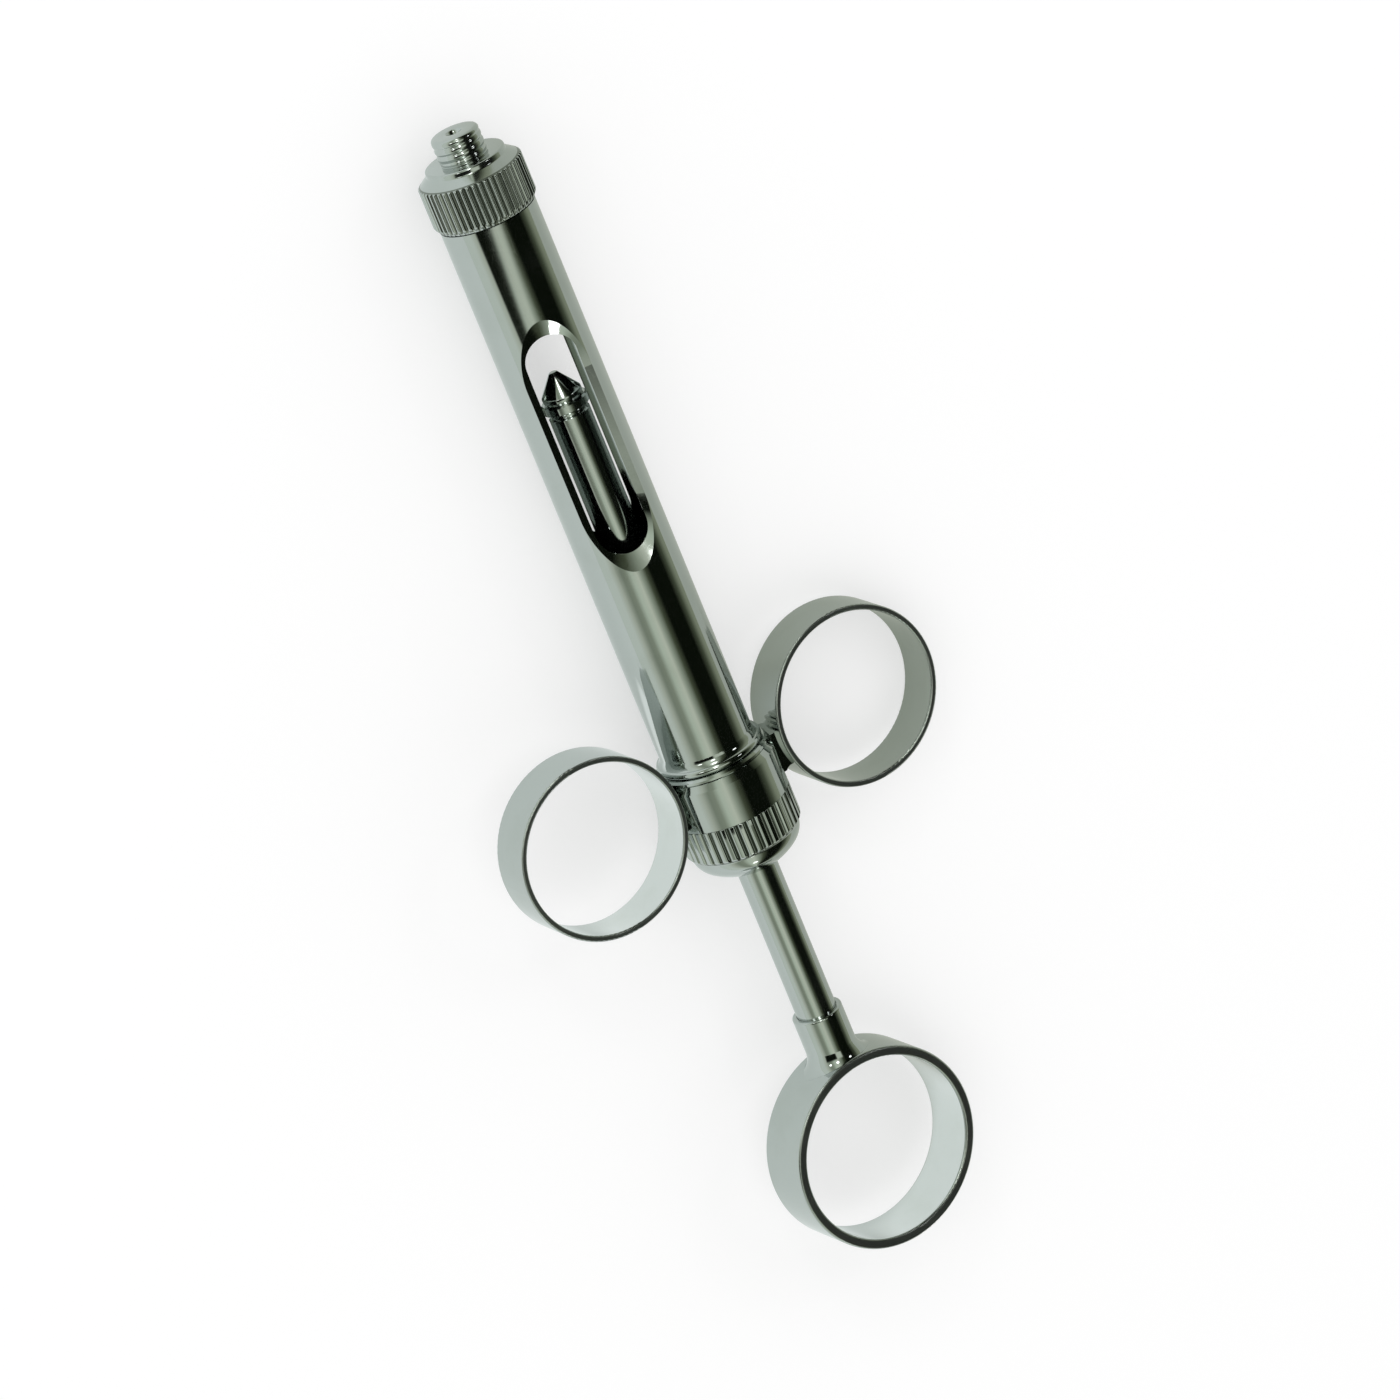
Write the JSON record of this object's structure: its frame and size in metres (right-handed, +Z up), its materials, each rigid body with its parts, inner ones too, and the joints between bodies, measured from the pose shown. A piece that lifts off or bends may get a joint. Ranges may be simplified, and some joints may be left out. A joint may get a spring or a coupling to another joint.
{
  "type": "dental aspirating syringe",
  "caption": "Polished metal dental syringe with a windowed barrel, finger rings, a knurled cap with a needle stud, a knurled rear nut and a harpoon plunger that ends in a thumb ring.",
  "frame": {"origin": "on the surface that the syringe lies on, below the middle of its bounding box", "axes": "+Y along the barrel towards the needle, +X towards the right finger ring, +Z up"},
  "size_m": [0.0564, 0.142, 0.0139],
  "materials": {
    "polished_chrome": "polished",
    "plain_steel": "turned",
    "turned_brass": "turned",
    "black_rubber": "smooth"
  },
  "bodies": {
    "barrel": {"barrel_tube": "polished_chrome", "barrel_ferrule": "polished_chrome", "finger_collar": "polished_chrome", "left_finger_ring": "polished_chrome", "right_finger_ring": "polished_chrome"},
    "needle_adapter": {"needle_adapter": "polished_chrome"},
    "rear_nut": {"rear_nut": "polished_chrome", "bush_retainer": "plain_steel", "guide_bush": "turned_brass", "rod_o_ring": "black_rubber", "o_ring_washer": "plain_steel"},
    "plunger": {"plunger_rod": "polished_chrome", "piston_head": "polished_chrome", "harpoon": "polished_chrome"},
    "thumb_ring": {"thumb_socket": "polished_chrome", "thumb_ring": "polished_chrome"}
  },
  "joints": [
    {"name": "adapter_unscrew", "type": "slide", "parent": "barrel", "child": "needle_adapter", "axis": [0, 1, 0], "range_m": [0, 0.012]},
    {"name": "nut_unscrew", "type": "slide", "parent": "barrel", "child": "rear_nut", "axis": [0, -1, 0], "range_m": [0, 0.065]},
    {"name": "plunger_slide", "type": "slide", "parent": "rear_nut", "child": "plunger", "axis": [0, 1, 0], "range_m": [-0.0485, 0.0196]},
    {"name": "thumb_turn", "type": "hinge", "parent": "plunger", "child": "thumb_ring", "pos_m": [-0.0004, -0.04113, 0.00695], "axis": [0, 1, 0], "continuous": true}
  ]
}
